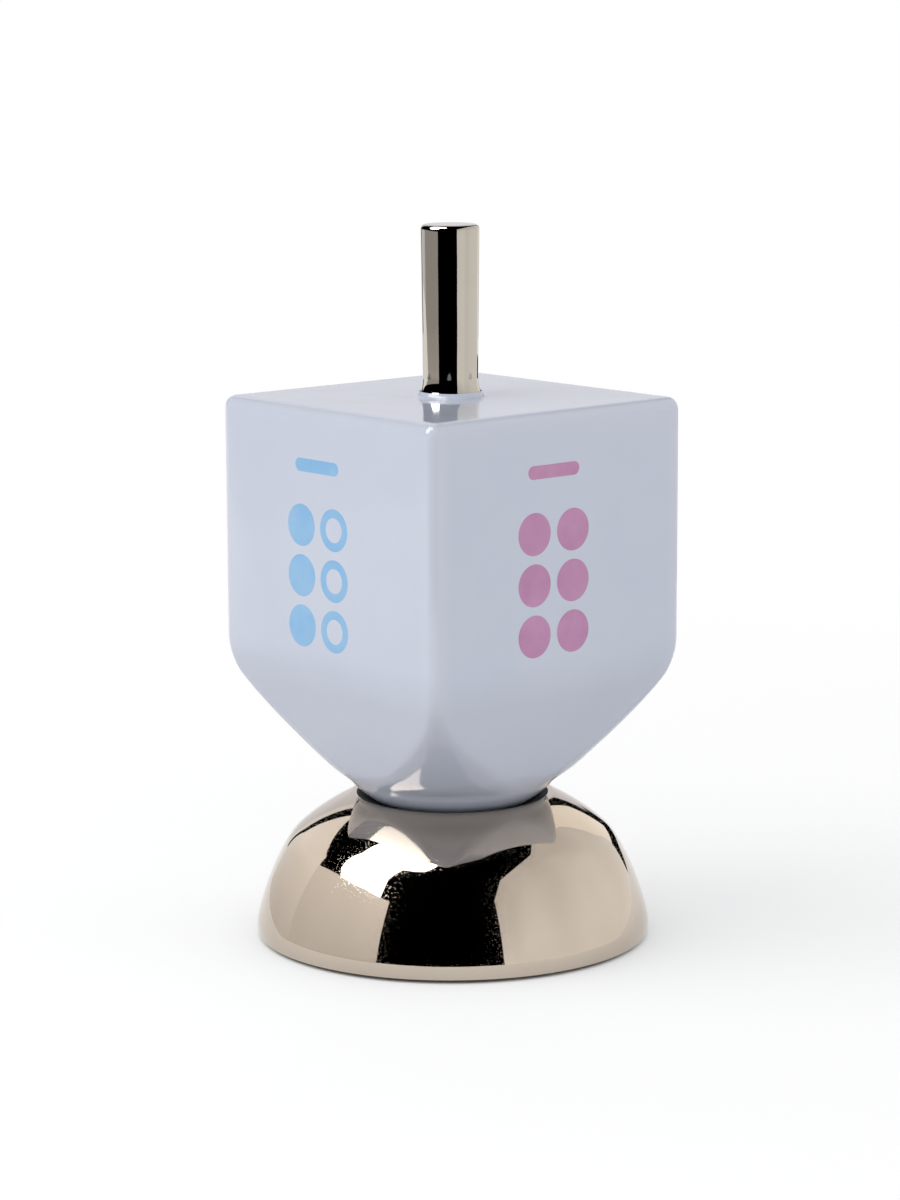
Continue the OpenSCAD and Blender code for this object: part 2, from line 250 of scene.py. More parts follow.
def place(piece, body, slot, surfaces, *nodes):
    """Gives a piece its body and its materials, and hides the CAD nodes that it stands for; slot is not
    used.
    """
    for surface in surfaces if isinstance(surfaces, list) else [surfaces]:
        piece.data.materials.append(surface)
    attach(piece, body)
    if nodes:
        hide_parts(*nodes)
    return piece


# Material helpers

class Surface:
    """A node material with object coordinates in millimetres."""

    def __init__(self, name):
        self.material = bpy.data.materials.new(name)
        self.material.use_nodes = True
        self.tree = self.material.node_tree
        self.shader = self.tree.nodes["Principled BSDF"]
        coords = self.add("ShaderNodeTexCoord")
        scale = self.add("ShaderNodeVectorMath", operation="SCALE")
        scale.inputs["Scale"].default_value = 1 / MM
        self.link(coords.outputs["Object"], scale.inputs[0])
        self.place = scale.outputs[0]

    def add(self, kind, **settings):
        node = self.tree.nodes.new(kind)
        for key, value in settings.items():
            setattr(node, key, value)
        return node

    def link(self, output, socket):
        self.tree.links.new(output, socket)

    def stretched(self, scale):
        """The place in millimetres, scaled along each axis."""
        node = self.add("ShaderNodeVectorMath", operation="MULTIPLY")
        self.link(self.place, node.inputs[0])
        node.inputs[1].default_value = scale
        return node.outputs[0]

    def noise(self, size, detail=3, place=None):
        """Cloud noise whose features are about this many millimetres across."""
        node = self.add("ShaderNodeTexNoise")
        node.inputs["Scale"].default_value = 1 / size
        node.inputs["Detail"].default_value = detail
        self.link(place or self.place, node.inputs["Vector"])
        return node.outputs["Fac"]

    def span(self, value, low, high, start=0.0, end=1.0):
        """A value from start to end stretched over low to high."""
        node = self.add("ShaderNodeMapRange")
        self.link(value, node.inputs["Value"])
        for key, number in zip(("From Min", "From Max", "To Min", "To Max"), (start, end, low, high)):
            node.inputs[key].default_value = number
        return node.outputs["Result"]

    def mix(self, share, first, second):
        """Colour between two colours, each given as numbers or as an output."""
        node = self.add("ShaderNodeMix", data_type="RGBA")
        self.link(share, node.inputs["Factor"])
        for socket, colour in ((node.inputs[6], first), (node.inputs[7], second)):
            if isinstance(colour, tuple):
                socket.default_value = (*colour, 1)
            else:
                self.link(colour, socket)
        return node.outputs[2]

    def bump(self, height, depth, below=None):
        """Bump of a depth in millimetres, laid over another bump."""
        node = self.add("ShaderNodeBump")
        node.inputs["Strength"].default_value = 1
        node.inputs["Distance"].default_value = depth * MM
        self.link(height, node.inputs["Height"])
        if below:
            self.link(below, node.inputs["Normal"])
        return node.outputs["Normal"]

    def light(self, colour, strength):
        """Emission of a colour, with its strength as a number or as an output."""
        node = self.add("ShaderNodeEmission")
        node.inputs["Color"].default_value = (*colour, 1)
        if isinstance(strength, bpy.types.NodeSocket):
            self.link(strength, node.inputs["Strength"])
        else:
            node.inputs["Strength"].default_value = strength
        return node.outputs[0]

    def show(self, shader):
        """Makes this the surface's shader."""
        self.link(shader, self.tree.nodes["Material Output"].inputs["Surface"])

    def set(self, **sockets):
        """Sets the shader's sockets to numbers, colours or outputs."""
        for key, value in sockets.items():
            socket = self.shader.inputs[key.replace("_", " ")]
            if isinstance(value, bpy.types.NodeSocket):
                self.link(value, socket)
            elif isinstance(value, tuple):
                socket.default_value = (*value, 1)
            else:
                socket.default_value = value


def glaze_bumps(surface):
    """The slow swell and the fine orange peel of a poured glaze."""
    swell = surface.bump(surface.noise(14, 1), 0.05)
    return surface.bump(surface.noise(0.9, 2), 0.0012, swell)


def porcelain():
    """White glaze, faintly blue and cloudy, painted paler at the rounded edges as light that glows through
    the porcelain there.
    """
    surface = Surface("porcelain")
    clouds = surface.span(surface.noise(22), 0, 1, 0.3, 0.7)
    white = surface.mix(clouds, (0.595, 0.63, 0.735), (0.625, 0.655, 0.755))
    edge = surface.add("ShaderNodeAttribute", attribute_name="edge").outputs["Fac"]
    # Painted light: the colour turns paler towards the rounded edges, standing in for light that glows
    # through the porcelain.
    white = surface.mix(surface.span(edge, 0, 0.8), white, (0.65, 0.675, 0.76))
    surface.set(Base_Color=white, Roughness=surface.span(surface.noise(6), 0.07, 0.11),
                Normal=glaze_bumps(surface), IOR=1.52)
    return surface.material


def fired_colour(name, thin, full):
    """Ceramic colour under the glaze, a little cloudy and thinner in places."""
    surface = Surface(name)
    clouds = surface.span(surface.noise(5, 4), 0, 1, 0.25, 0.75)
    grain = surface.span(surface.noise(0.5, 2), 0, 0.35, 0.55, 0.8)
    colour = surface.mix(grain, surface.mix(clouds, full, thin), thin)
    surface.set(Base_Color=colour, Roughness=surface.span(surface.noise(6), 0.05, 0.10),
                Normal=glaze_bumps(surface), IOR=1.52)
    return surface.material


def polished_nickel(name, dark, light, wave, speck):
    """Mirror polish with a slow swell and fine specks, each of a depth in millimetres."""
    surface = Surface(name)
    clouds = surface.span(surface.noise(18), 0, 1, 0.3, 0.7)
    swell = surface.bump(surface.noise(7, 1), wave)
    specks = surface.span(surface.noise(0.3, 2), 0, 1, 0.64, 0.71)
    surface.set(Base_Color=surface.mix(clouds, dark, light), Metallic=1.0,
                Normal=surface.bump(specks, speck, swell),
                Roughness=surface.span(surface.noise(2.5, 4), 0.015, 0.05))
    return surface.material


def dull_metal(name, dark, light, rough):
    """Plain machined or plated metal, with fine turning marks and clouded plating."""
    surface = Surface(name)
    clouds = surface.span(surface.noise(4, 5), 0, 1, 0.3, 0.7)
    marks = surface.noise(1, 2, surface.stretched((0.4, 0.4, 6)))
    surface.set(Base_Color=surface.mix(clouds, dark, light), Metallic=1.0,
                Roughness=surface.span(clouds, rough, rough + 0.15),
                Normal=surface.bump(marks, 0.01))
    return surface.material


def soft_rubber(name, dark, light):
    """Matte elastomer with a fine moulded grain."""
    surface = Surface(name)
    clouds = surface.span(surface.noise(3, 4), 0, 1, 0.3, 0.7)
    surface.set(Base_Color=surface.mix(clouds, dark, light),
                Roughness=surface.span(surface.noise(0.6), 0.55, 0.8),
                Normal=surface.bump(surface.noise(0.3, 3), 0.02))
    return surface.material


def pressed_felt():
    """Dense felt: matted fibres in two directions, with a soft sheen."""
    surface = Surface("pressed_felt")
    along = surface.noise(0.8, 4, surface.stretched((0.5, 3, 3)))
    across = surface.noise(0.8, 4, surface.stretched((3, 0.5, 3)))
    fibre = surface.mix(surface.noise(4), along, across)
    colour = surface.mix(surface.span(along, 0, 1, 0.3, 0.7), (0.018, 0.02, 0.019), (0.05, 0.055, 0.05))
    surface.set(Base_Color=colour, Roughness=0.95, Sheen_Weight=0.4,
                Normal=surface.bump(fibre, 0.12))
    return surface.material


# Body of the dreidel

CORNER_STEPS = 8
FLAT_STEPS = 24
FLAT_GROWTH = 1.6


def ring_turns():
    """Directions of a ring's points, in degrees from a face's middle, close together at the edges."""
    edge_turn = 45 - math.degrees(math.atan2(HALF_W - EDGE_R, HALF_W))
    steps = [edge_turn * i / CORNER_STEPS for i in range(CORNER_STEPS)]
    steps += [edge_turn + (45 - edge_turn) * (i / FLAT_STEPS) ** FLAT_GROWTH for i in range(FLAT_STEPS + 1)]
    half = [45 - s for s in steps]
    quarter = [-t for t in half] + half[-2:0:-1]
    return [90 * q + t for q in range(4) for t in quarter]


RING_TURNS = ring_turns()


def square_ring(half, corner, z):
    """Rounded square of a half width and a corner radius, as points in matching directions."""
    inner = half - corner
    ring = []
    for turn in RING_TURNS:
        local = abs((turn + 45) % 90 - 45)
        a = math.radians(local)
        if half * math.tan(a) <= inner:
            reach = half / math.cos(a)
        else:
            rest = max(0, corner ** 2 - inner ** 2 * (1 - math.sin(2 * a)))
            reach = inner * (math.cos(a) + math.sin(a)) + math.sqrt(rest)
        t = math.radians(turn)
        ring.append(Vector((reach * math.cos(t), reach * math.sin(t), z)))
    return ring


def round_ring(radius, z):
    return square_ring(radius, radius, z)


SEAT_SLOPE = math.acos(SEAT_LINE_R / BOTTOM_R)


def taper_miss(slope):
    """Gap between the bend and the bowl's end, across faces of a slope, in radians from upright."""
    bowl_end = SEAT_LINE_R + BOWL_H * math.tan((slope + SEAT_SLOPE) / 2)
    bend_end = HALF_W - BEND_R * (1 - math.cos(slope))
    return bend_end - bowl_end - math.tan(slope) * (TAPER_H - BOWL_H - BEND_R * math.sin(slope))


TAPER_SLOPE = crossing(taper_miss, lambda _: 0, 0, SEAT_SLOPE)
BEND_LOW = BEND_Z - BEND_R * math.sin(TAPER_SLOPE)
BOWL_TOP = SEAT_Z + BOWL_H
BOWL_R = BOWL_H / (math.sin(SEAT_SLOPE) - math.sin(TAPER_SLOPE))
BOWL_C = Vector((SEAT_LINE_R - BOWL_R * math.cos(SEAT_SLOPE), SEAT_Z + BOWL_R * math.sin(SEAT_SLOPE)))
ROUND_Z = SEAT_Z + ROUND_SHARE * TAPER_H


def width_at(z):
    """Half width of the body at a height in the taper or above."""
    if z >= BEND_Z:
        return HALF_W
    if z >= BEND_LOW:
        return HALF_W - BEND_R + math.sqrt(BEND_R ** 2 - (BEND_Z - z) ** 2)
    bowl = BOWL_C.x + math.sqrt(BOWL_R ** 2 - (BOWL_C.y - min(z, BOWL_TOP)) ** 2)
    return bowl + max(0, z - BOWL_TOP) * math.tan(TAPER_SLOPE)


def ridge_at(z):
    """Corner radius of the body at a height in the taper or above."""
    down = ((BEND_Z - z) / TAPER_H - RIDGE_SHARE) / (1 - RIDGE_SHARE - ROUND_SHARE)
    return EDGE_R + (width_at(ROUND_Z) - EDGE_R) * min(1, max(0, down)) ** RIDGE_POWER


def steps_between(low, high, count):
    return [low + (high - low) * i / count for i in range(count + 1)]


def bottom_rings(inset, count):
    """Round bottom, from the tip's hole out to just inside the seat line."""
    radius = BOTTOM_R - inset
    low = math.asin(BOTTOM_FLAT_R / BOTTOM_R)
    high = math.asin(SEAT_LINE_R / BOTTOM_R)
    rings = [round_ring(SPIGOT_HOLE_R, BALL_Z - radius * math.cos(low))]
    for a in steps_between(low, high, count)[:-1]:
        rings.append(round_ring(radius * math.sin(a), BALL_Z - radius * math.cos(a)))
    return rings


def taper_rings(inset, wall, count):
    low = BALL_Z - (BOTTOM_R - inset) * math.sqrt(1 - (SEAT_LINE_R / BOTTOM_R) ** 2)
    rings = []
    for z in steps_between(low, BEND_Z, count):
        half = width_at(z) - wall
        rings.append(square_ring(half, min(half, max(EDGE_R, ridge_at(z) - inset)), z))
    return rings


def top_rings(inset, wall, count):
    """Straight sides and the rounded edge at the top."""
    half, top = HALF_W - wall, BODY_TOP - inset
    rings = [square_ring(half, EDGE_R, z) for z in steps_between(BEND_Z, top - EDGE_R, 8)[1:-1]]
    for a in steps_between(0, math.pi / 2, count):
        rings.append(square_ring(half - EDGE_R * (1 - math.cos(a)), EDGE_R * math.cos(a),
                                 top - EDGE_R * (1 - math.sin(a))))
    return rings


TOP_SWELL = 0.14
TOP_SHARES = (0.03, 0.1, 0.2, 0.32, 0.45, 0.58, 0.7, 0.8, 0.9, 0.97)


def flat_rings(outer, inner, shares, swell=0):
    """Rings on a flat face between two rings, sunk a little where the glaze has pulled."""
    rings = []
    for share in shares:
        ring = []
        for a, b in zip(outer, inner):
            p = a.lerp(b, share)
            fade = math.sin(math.pi * share)
            sunk = 0.5 + 0.5 * noise.noise(Vector((p.x / 13, p.y / 13, 4)))
            ring.append(p - Vector((0, 0, swell * fade * sunk)))
        rings.append(ring)
    return rings


def collar_rings():
    """Hollow fillet up to the collar's rounded lip, then the recess for the stem's foot."""
    radius = (COLLAR_W ** 2 + COLLAR_H ** 2) / (2 * COLLAR_H)
    recess_r = STEM_FOOT_R + COLLAR_FIT
    foot_r = recess_r + COLLAR_LIP + COLLAR_W
    half_lip = COLLAR_LIP / 2
    sweep = math.degrees(math.asin(COLLAR_W / radius))
    profile = arc((foot_r, BODY_TOP + radius), radius, -90, -90 - sweep, 8)[:-1]
    profile += arc((recess_r + half_lip, COLLAR_TOP - half_lip), half_lip, 0, 180, 6)
    profile += [(recess_r, COLLAR_TOP - COLLAR_SINK), (SPIGOT_HOLE_R, COLLAR_TOP - COLLAR_SINK)]
    return [round_ring(r, z) for r, z in profile]


def mark_edge_glow(piece):
    """Stores how near each point is to a rounded edge, where painted light makes the porcelain paler."""
    attribute = piece.data.attributes.new("edge", "FLOAT", "POINT")
    values = []
    for vertex in piece.data.vertices:
        p = vertex.co / MM
        near_side = min(abs(p.x), abs(p.y))
        far_side = max(abs(p.x), abs(p.y))
        across = 1 - min(1, (far_side - near_side) / (2 * EDGE_R))
        fade = min(1, max(0, (p.z - SEAT_Z) / TAPER_H))
        up = 1 - min(1, abs(p.z - (BODY_TOP - EDGE_R / 3)) / EDGE_R)
        out = min(1, max(0, (far_side - HALF_W + 2 * EDGE_R) / EDGE_R))
        values.append(max(across * fade * out, up * out))
    attribute.data.foreach_set("value", values)


def make_body():
    outer = bottom_rings(0, 10) + taper_rings(0, 0, 48) + top_rings(0, 0, 10)
    collar = collar_rings()
    outer += flat_rings(outer[-1], collar[0], TOP_SHARES, TOP_SWELL)
    inner = bottom_rings(BODY_WALL, 5) + taper_rings(BODY_WALL, TAPER_WALL, 16)
    inner += top_rings(BODY_WALL, TAPER_WALL, 4)
    inner.append(round_ring(SPIGOT_HOLE_R, BODY_TOP - BODY_WALL))
    piece = loft("porcelain_body", outer + collar + inner[::-1], closed=True)
    mark_edge_glow(piece)
    return piece


# Stem, tip and washers

def stem_wobble(at):
    """Slight unevenness of the drawn and polished rod, always inward."""
    return 0.03 * (1 + noise.noise(Vector((at.x / 5, at.y / 5, at.z / 9)))) / 2


def make_stem():
    radius = (STEM_FLARE_H ** 2 + (STEM_FOOT_R - STEM_WAIST_R) ** 2) / (2 * (STEM_FOOT_R - STEM_WAIST_R))
    sweep = math.degrees(math.asin(STEM_FLARE_H / radius))
    waist_z = STEM_BASE + STEM_FLARE_H
    hole_top = stem_low.z + ROD_IN_STEM
    profile = [(0, hole_top), (ROD_HOLE_R, hole_top), (ROD_HOLE_R, stem_low.z), (SPIGOT_R, stem_low.z),
               (SPIGOT_R, STEM_BASE), (STEM_FOOT_R, STEM_BASE)]
    flare = arc((STEM_WAIST_R + radius, waist_z), radius, 180 + sweep, 180, 12)
    profile += flare[1:]
    for i in range(1, 33):
        share = i / 33
        profile.append((STEM_WAIST_R + (STEM_TOP_R - STEM_WAIST_R) * share,
                        waist_z + (STEM_TOP - STEM_ROUND - waist_z) * share))
    profile += arc((STEM_TOP_R - STEM_ROUND, STEM_TOP - STEM_ROUND), STEM_ROUND, 0, 88, 10)
    profile += [(STEM_TOP_R * 0.5, STEM_TOP), (0, STEM_TOP)]
    piece = lathe("stem_rod", profile, 160, wobble=stem_wobble)
    bevel(piece, 0.08)
    return piece


def make_tip():
    nose_base = TIP_TOP - TIP_RIM_H
    nose_r = (TIP_R ** 2 + TIP_NOSE_H ** 2) / (2 * TIP_NOSE_H)
    end = nose_base - TIP_NOSE_H
    sweep = math.degrees(math.asin(TIP_R / nose_r))
    hole_low = tip_high.z - ROD_IN_TIP
    profile = arc((0, end + nose_r), nose_r, -90, -90 + sweep, 20)
    profile += [(TIP_R, TIP_TOP), (SPIGOT_R, TIP_TOP), (SPIGOT_R, tip_high.z), (ROD_HOLE_R, tip_high.z),
                (ROD_HOLE_R, hole_low), (0, hole_low)]
    piece = lathe("tip_nose", profile, 128)
    bevel(piece, 0.12)
    return piece


def make_washer(name, node):
    """Thin washer with softly bulged rims, in the space of its node."""
    low, high = box_mm(node)
    rim = (high.z - low.z) / 2
    middle = low.z + rim
    profile = arc((high.x - rim, middle), rim, -90, 90, 8)
    profile += arc((SPIGOT_HOLE_R + rim, middle), rim, 90, 270, 8)
    return lathe(name, profile, 128, closed=True)


# Stand

def polar(radius, degrees):
    a = math.radians(degrees)
    return Vector((radius * math.cos(a), radius * math.sin(a)))


ROLL_C = Vector((STAND_R - ROLL_R, FOOT_Z + WIDEST_H))
FLANK_C = ROLL_C + polar(ROLL_R - FLANK_R, ROLL_END)
SHOULDER_C = FLANK_C + polar(FLANK_R - SHOULDER_R, FLANK_END)
CROWN_C = SHOULDER_C + polar(SHOULDER_R - CROWN_R, SHOULDER_END)
SEAT_BALL_R = BOTTOM_R + SEAT_GAP
GROOVE_Z = BALL_Z - math.sqrt(SEAT_BALL_R ** 2 - RING_IN_R ** 2) - RING_SINK
WELL_R = TIP_R + WELL_GAP
WELL_Z = tip_low.z - WELL_GAP


def ball_height(radius, at):
    """Height of a ball round the bottom's centre, at a distance from the axis."""
    return BALL_Z - math.sqrt(radius ** 2 - at ** 2)


def shell_arcs(inset, start_z, end_r, fine):
    """Outline of the dome set in by a wall, from a height near its foot up to a radius on its crown."""
    start = -math.degrees(math.asin((ROLL_C.y - start_z) / (ROLL_R - inset)))
    end = math.degrees(math.acos((end_r - CROWN_C.x) / (CROWN_R - inset)))
    points = arc(ROLL_C, ROLL_R - inset, start, ROLL_END, 2 * fine)
    points += arc(FLANK_C, FLANK_R - inset, ROLL_END, FLANK_END, 3 * fine)[1:]
    points += arc(SHOULDER_C, SHOULDER_R - inset, FLANK_END, SHOULDER_END, 2 * fine)[1:]
    points += arc(CROWN_C, CROWN_R - inset, SHOULDER_END, end, 3 * fine)[1:]
    return points


def rim_points():
    """Rolled rim of the stand, tangent to the crown outside and to the seat's cup inside."""
    ball = Vector((0, BALL_Z))

    def reach(turn):
        return (CROWN_C + polar(CROWN_R - RIM_ROUND, turn) - ball).length

    turn = crossing(reach, lambda _: SEAT_BALL_R + RIM_ROUND, SHOULDER_END, 90)
    centre = CROWN_C + polar(CROWN_R - RIM_ROUND, turn)
    inward = ball - centre
    return arc(centre, RIM_ROUND, turn, math.degrees(math.atan2(inward.y, inward.x)), RIM_STEPS)


def seat_points(rim_r):
    """Cup, groove and well that take the dreidel, from the rolled rim in to the axis."""
    groove_out, groove_in = RING_OUT_R + GROOVE_FIT, RING_IN_R - GROOVE_FIT
    cup = [(r, ball_height(SEAT_BALL_R, r)) for r in steps_between(rim_r, groove_out, 12)[1:]]
    cup += [(groove_out, GROOVE_Z), (groove_in, GROOVE_Z)]
    cup += [(r, ball_height(SEAT_BALL_R, r)) for r in steps_between(groove_in, WELL_R, 6)]
    return cup + [(WELL_R, WELL_Z), (0, WELL_Z)]


def hollow_points():
    """Inside of the dome, from the screw's hole out to the foot."""
    plate_top = plate_high.z
    plate_seat_r = STAND_R - SHELL_T + PLATE_LEDGE
    step_r = RING_OUT_R + GROOVE_FIT + SEAT_T
    shell_end = ball_height(SEAT_BALL_R + SEAT_T, step_r)
    shell = shell_arcs(SHELL_T, plate_top, step_r, 6)
    points = [(0, plate_top + SCREW_GRIP), (SCREW_HOLE_R, plate_top + SCREW_GRIP), (SCREW_HOLE_R, plate_top),
              (BOSS_R, plate_top), (BOSS_R, WELL_Z - SEAT_T), (WELL_R + SEAT_T, WELL_Z - SEAT_T),
              (WELL_R + SEAT_T, GROOVE_Z - SEAT_T), (step_r, GROOVE_Z - SEAT_T)]
    if shell_end < shell[-1][1]:
        points.append((step_r, shell_end))
    return points + shell[::-1] + [(plate_seat_r, plate_top), (plate_seat_r, FOOT_Z)]


def make_stand():
    """Polished shell, and a near-black seat that starts inside the crest of the rolled rim, painted shade
    for the dark gap round the dreidel's foot.
    """
    rim = rim_points()
    seat = seat_points(rim[-1][0])
    shell = hollow_points() + shell_arcs(0, FOOT_Z, rim[0][0], 16) + rim[1:]
    # The near-black band on the seat and the rim's inner steps is painted shade for the crease where the
    # dreidel sits.
    bands = [0] * (len(shell) - 1 - RIM_PAINTED_SHADE_STEPS) + [1] * (len(seat) + RIM_PAINTED_SHADE_STEPS)
    piece = lathe("polished_dome", shell + seat, 288, bands=bands)
    bevel(piece, 0.12)
    return piece


def make_seat_ring():
    """Soft cushion ring: flat under, crowned to the ball above, with rounded lips."""
    lip = 0.3
    radii = steps_between(RING_IN_R + lip, RING_OUT_R - lip, 10)
    crest = [(r, ball_height(BOTTOM_R + RING_GAP, r)) for r in radii]
    inside_top, outside_top = crest[0][1] - lip, crest[-1][1] - lip
    profile = [(RING_IN_R, GROOVE_Z + lip), (RING_IN_R, inside_top)] + crest
    profile += [(RING_OUT_R, outside_top), (RING_OUT_R, GROOVE_Z + lip), (RING_OUT_R - lip, GROOVE_Z),
                (RING_IN_R + lip, GROOVE_Z)]
    return lathe("cushion_ring", profile, 160, closed=True)


def felt_wobble(at):
    """Loose cut edge of the felt, drawn in by up to a quarter of a millimetre."""
    return 0.12 * (1 + noise.noise(at * 1.1)) if at.xy.length > 30 else 0


def make_felt():
    """Felt foot: flat where it rests, with a soft bulged edge."""
    rim = (felt_high.z - felt_low.z) / 2
    profile = [(0, felt_low.z), (12, felt_low.z), (24, felt_low.z), (32, felt_low.z)]
    profile += arc((felt_high.x - rim, felt_low.z + rim), rim, -90, 90, 10)
    profile += [(32, felt_high.z), (16, felt_high.z), (0, felt_high.z)]
    return lathe("felt_foot", profile, 240, wobble=felt_wobble)


# Marks fired on the faces

MARK_FILM = 0.03
MARK_SOFT = 0.35
MARK_Z = BEND_Z + MARK_RISE + COIN_R + COIN_PITCH
BAR_Z = MARK_Z + COIN_PITCH + COIN_R + BAR_RISE
# Inset from the outline and height over the glaze, from the hidden back to the middle of a mark
MARK_STEPS = [(0, -MARK_FILM), (0, 0), (MARK_SOFT / 3, MARK_FILM * 0.55), (MARK_SOFT, MARK_FILM)]


def dot_outline(x, z, radius):
    """Circle on a face."""
    return arc((x, z), radius, 0, 360, 72)[:-1]


def bar_outline(x, z, length, radius):
    """Bar with round ends on a face."""
    reach = length / 2 - radius
    return arc((x + reach, z), radius, -90, 90, 24) + arc((x - reach, z), radius, 90, 270, 24)


def chevron_outline(x, z, reach, radius):
    """Round stroke that runs down to a point and up again, as far to each side as it is high."""
    return (arc((x - reach, z + reach), radius, 45, 225, 24) + arc((x, z), radius, 225, 315, 12)
            + arc((x + reach, z + reach), radius, 315, 495, 24) + [(x, z + radius * math.sqrt(2))])


def on_face(angle, outline, rise):
    """Carries an outline onto the face that looks along an angle, at a height over the glaze."""
    a = math.radians(angle)
    out, along = Vector((math.cos(a), math.sin(a), 0)), Vector((-math.sin(a), math.cos(a), 0))
    return [out * (HALF_W + rise) + along * (x + MARK_SHIFT) + Vector((0, 0, z)) for x, z in outline]


def film(angle, outline, radius):
    """Thin film of colour with a soft edge. outline draws it for a stroke of a given radius."""
    rings = [on_face(angle, outline(radius - inset), rise) for inset, rise in MARK_STEPS]
    rings.append(on_face(angle, outline(0), MARK_FILM))
    return [on_face(angle, outline(0), -MARK_FILM)] + rings, False


def ring_film(angle, x, z):
    """Film in the shape of a ring: an empty coin."""
    inner_r = COIN_R - COIN_LINE
    rings = [on_face(angle, dot_outline(x, z, COIN_R - inset), rise) for inset, rise in MARK_STEPS]
    rings += [on_face(angle, dot_outline(x, z, inner_r + inset), rise) for inset, rise in MARK_STEPS[::-1]]
    return rings, True


def coin_field(angle, full_columns):
    """Short bar and six coins, with the given number of columns filled."""
    parts = [film(angle, lambda r: bar_outline(0, BAR_Z, BAR_L - 2 * (BAR_R - r), r), BAR_R)]
    for column in (0, 1):
        for row in (-1, 0, 1):
            x, z = (column - 0.5) * COIN_PITCH, MARK_Z + row * COIN_PITCH
            if column < full_columns:
                parts.append(film(angle, lambda r: dot_outline(x, z, r), COIN_R))
            else:
                parts.append(ring_film(angle, x, z))
    return parts


def put_in(angle):
    """Short bar, and one coin over a chevron."""
    return [film(angle, lambda r: bar_outline(0, BAR_Z, BAR_L - 2 * (BAR_R - r), r), BAR_R),
            film(angle, lambda r: dot_outline(0, MARK_Z + COIN_PITCH, r), COIN_R),
            film(angle, lambda r: chevron_outline(0, MARK_Z - COIN_PITCH, COIN_PITCH, r), COIN_R / 2)]


# Pieces

stand_nickel = polished_nickel("stand_nickel", (0.53, 0.455, 0.38), (0.57, 0.495, 0.415), 0.012, 0.0035)
stem_nickel = polished_nickel("stem_nickel", (0.49, 0.455, 0.405), (0.52, 0.485, 0.435), 0.04, 0.0001)
gasket = soft_rubber("gasket_rubber", (0.012, 0.012, 0.012), (0.03, 0.03, 0.03))
cushion = soft_rubber("cushion_rubber", (0.008, 0.008, 0.008), (0.02, 0.02, 0.02))
rod_steel = dull_metal("rod_steel", (0.38, 0.38, 0.38), (0.55, 0.55, 0.54), 0.3)
weight_iron = dull_metal("weight_iron", (0.05, 0.05, 0.055), (0.12, 0.12, 0.125), 0.45)

place(make_body(), "top", "porcelain", porcelain(), "body")
place(make_stem(), "top", "polished_nickel", stem_nickel, "stem")
place(make_tip(), "top", "polished_nickel", stem_nickel, "tip")
place(make_washer("stem_washer", "stem_gasket"), "top", "gasket", gasket, "stem_gasket")
place(make_washer("tip_washer", "tip_gasket"), "top", "gasket", gasket, "tip_gasket")
# Near-black finish of the seat and the rim's inner steps: painted shade for the dark gap under the dreidel.
seat_painted_shade = soft_rubber("seat_painted_shade", (0.006, 0.006, 0.006), (0.014, 0.014, 0.014))
place(make_stand(), "stand", "polished_nickel", [stand_nickel, seat_painted_shade], "stand_dome")
ring = place(make_seat_ring(), "seat", "cushion", cushion, "seat_ring")
felt = place(make_felt(), "stand", "felt", pressed_felt(), "felt_pad")

MARKS = {
    "mark_half": (coin_field(-90, 1), "blue_glaze", (0.31, 0.54, 0.79), (0.23, 0.48, 0.77)),
    "mark_all": (coin_field(0, 2), "mauve_glaze", (0.57, 0.28, 0.47), (0.50, 0.21, 0.41)),
    "mark_none": (coin_field(180, 0), "green_glaze", (0.38, 0.60, 0.42), (0.28, 0.52, 0.33)),
    "mark_put_in": (put_in(90), "yellow_glaze", (0.82, 0.66, 0.32), (0.78, 0.58, 0.22)),
}
for node, (parts, slot, thin, full) in MARKS.items():
    place(shells(f"{node}_film", parts), "top", slot, fired_colour(slot, thin, full), node)

CARRIED = {
    "tie_rod": rod_steel,
    "base_screw": rod_steel,
    "base_plate": weight_iron,
}
for node, surface in CARRIED.items():
    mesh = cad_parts[node].data
    mesh.materials.clear()
    mesh.materials.append(surface)


# Camera

CAMERA_AZIMUTH = 49.2
CAMERA_ELEVATION = 10.15
CAMERA_DISTANCE = 710
CAMERA_AIM_Z = 67.1
CAMERA_AIM_LEFT = 0.3
CAMERA_ROLL = -0.25
CAMERA_LENS = 108.2

FRONT = Vector((math.sin(math.radians(CAMERA_AZIMUTH)), -math.cos(math.radians(CAMERA_AZIMUTH)), 0))
RIGHT = Vector((math.cos(math.radians(CAMERA_AZIMUTH)), math.sin(math.radians(CAMERA_AZIMUTH)), 0))
UP = Vector((0, 0, 1))


def toward(azimuth, elevation=0):
    """Direction given by an angle to the right of the camera's side and a height angle."""
    a, e = math.radians(azimuth), math.radians(elevation)
    return (FRONT * math.cos(a) + RIGHT * math.sin(a)) * math.cos(e) + UP * math.sin(e)


def make_camera():
    lens = bpy.data.cameras.new("camera")
    lens.lens = CAMERA_LENS
    lens.clip_start = 0.01
    camera = bpy.data.objects.new("camera", lens)
    SCENE.collection.objects.link(camera)
    aim = UP * CAMERA_AIM_Z - RIGHT * CAMERA_AIM_LEFT
    back = toward(0, CAMERA_ELEVATION)
    camera.location = (aim + back * CAMERA_DISTANCE) * MM
    camera.rotation_mode = "QUATERNION"
    roll = Quaternion((0, 0, 1), math.radians(CAMERA_ROLL))
    camera.rotation_quaternion = back.to_track_quat("Z", "Y") @ roll
    SCENE.camera = camera


make_camera()


# Studio

CARD_STEPS = 8


def times(tree, first, second):
    """Product of two outputs."""
    node = tree.nodes.new("ShaderNodeMath")
    node.operation = "MULTIPLY"
    tree.links.new(first, node.inputs[0])
    tree.links.new(second, node.inputs[1])
    return node.outputs[0]


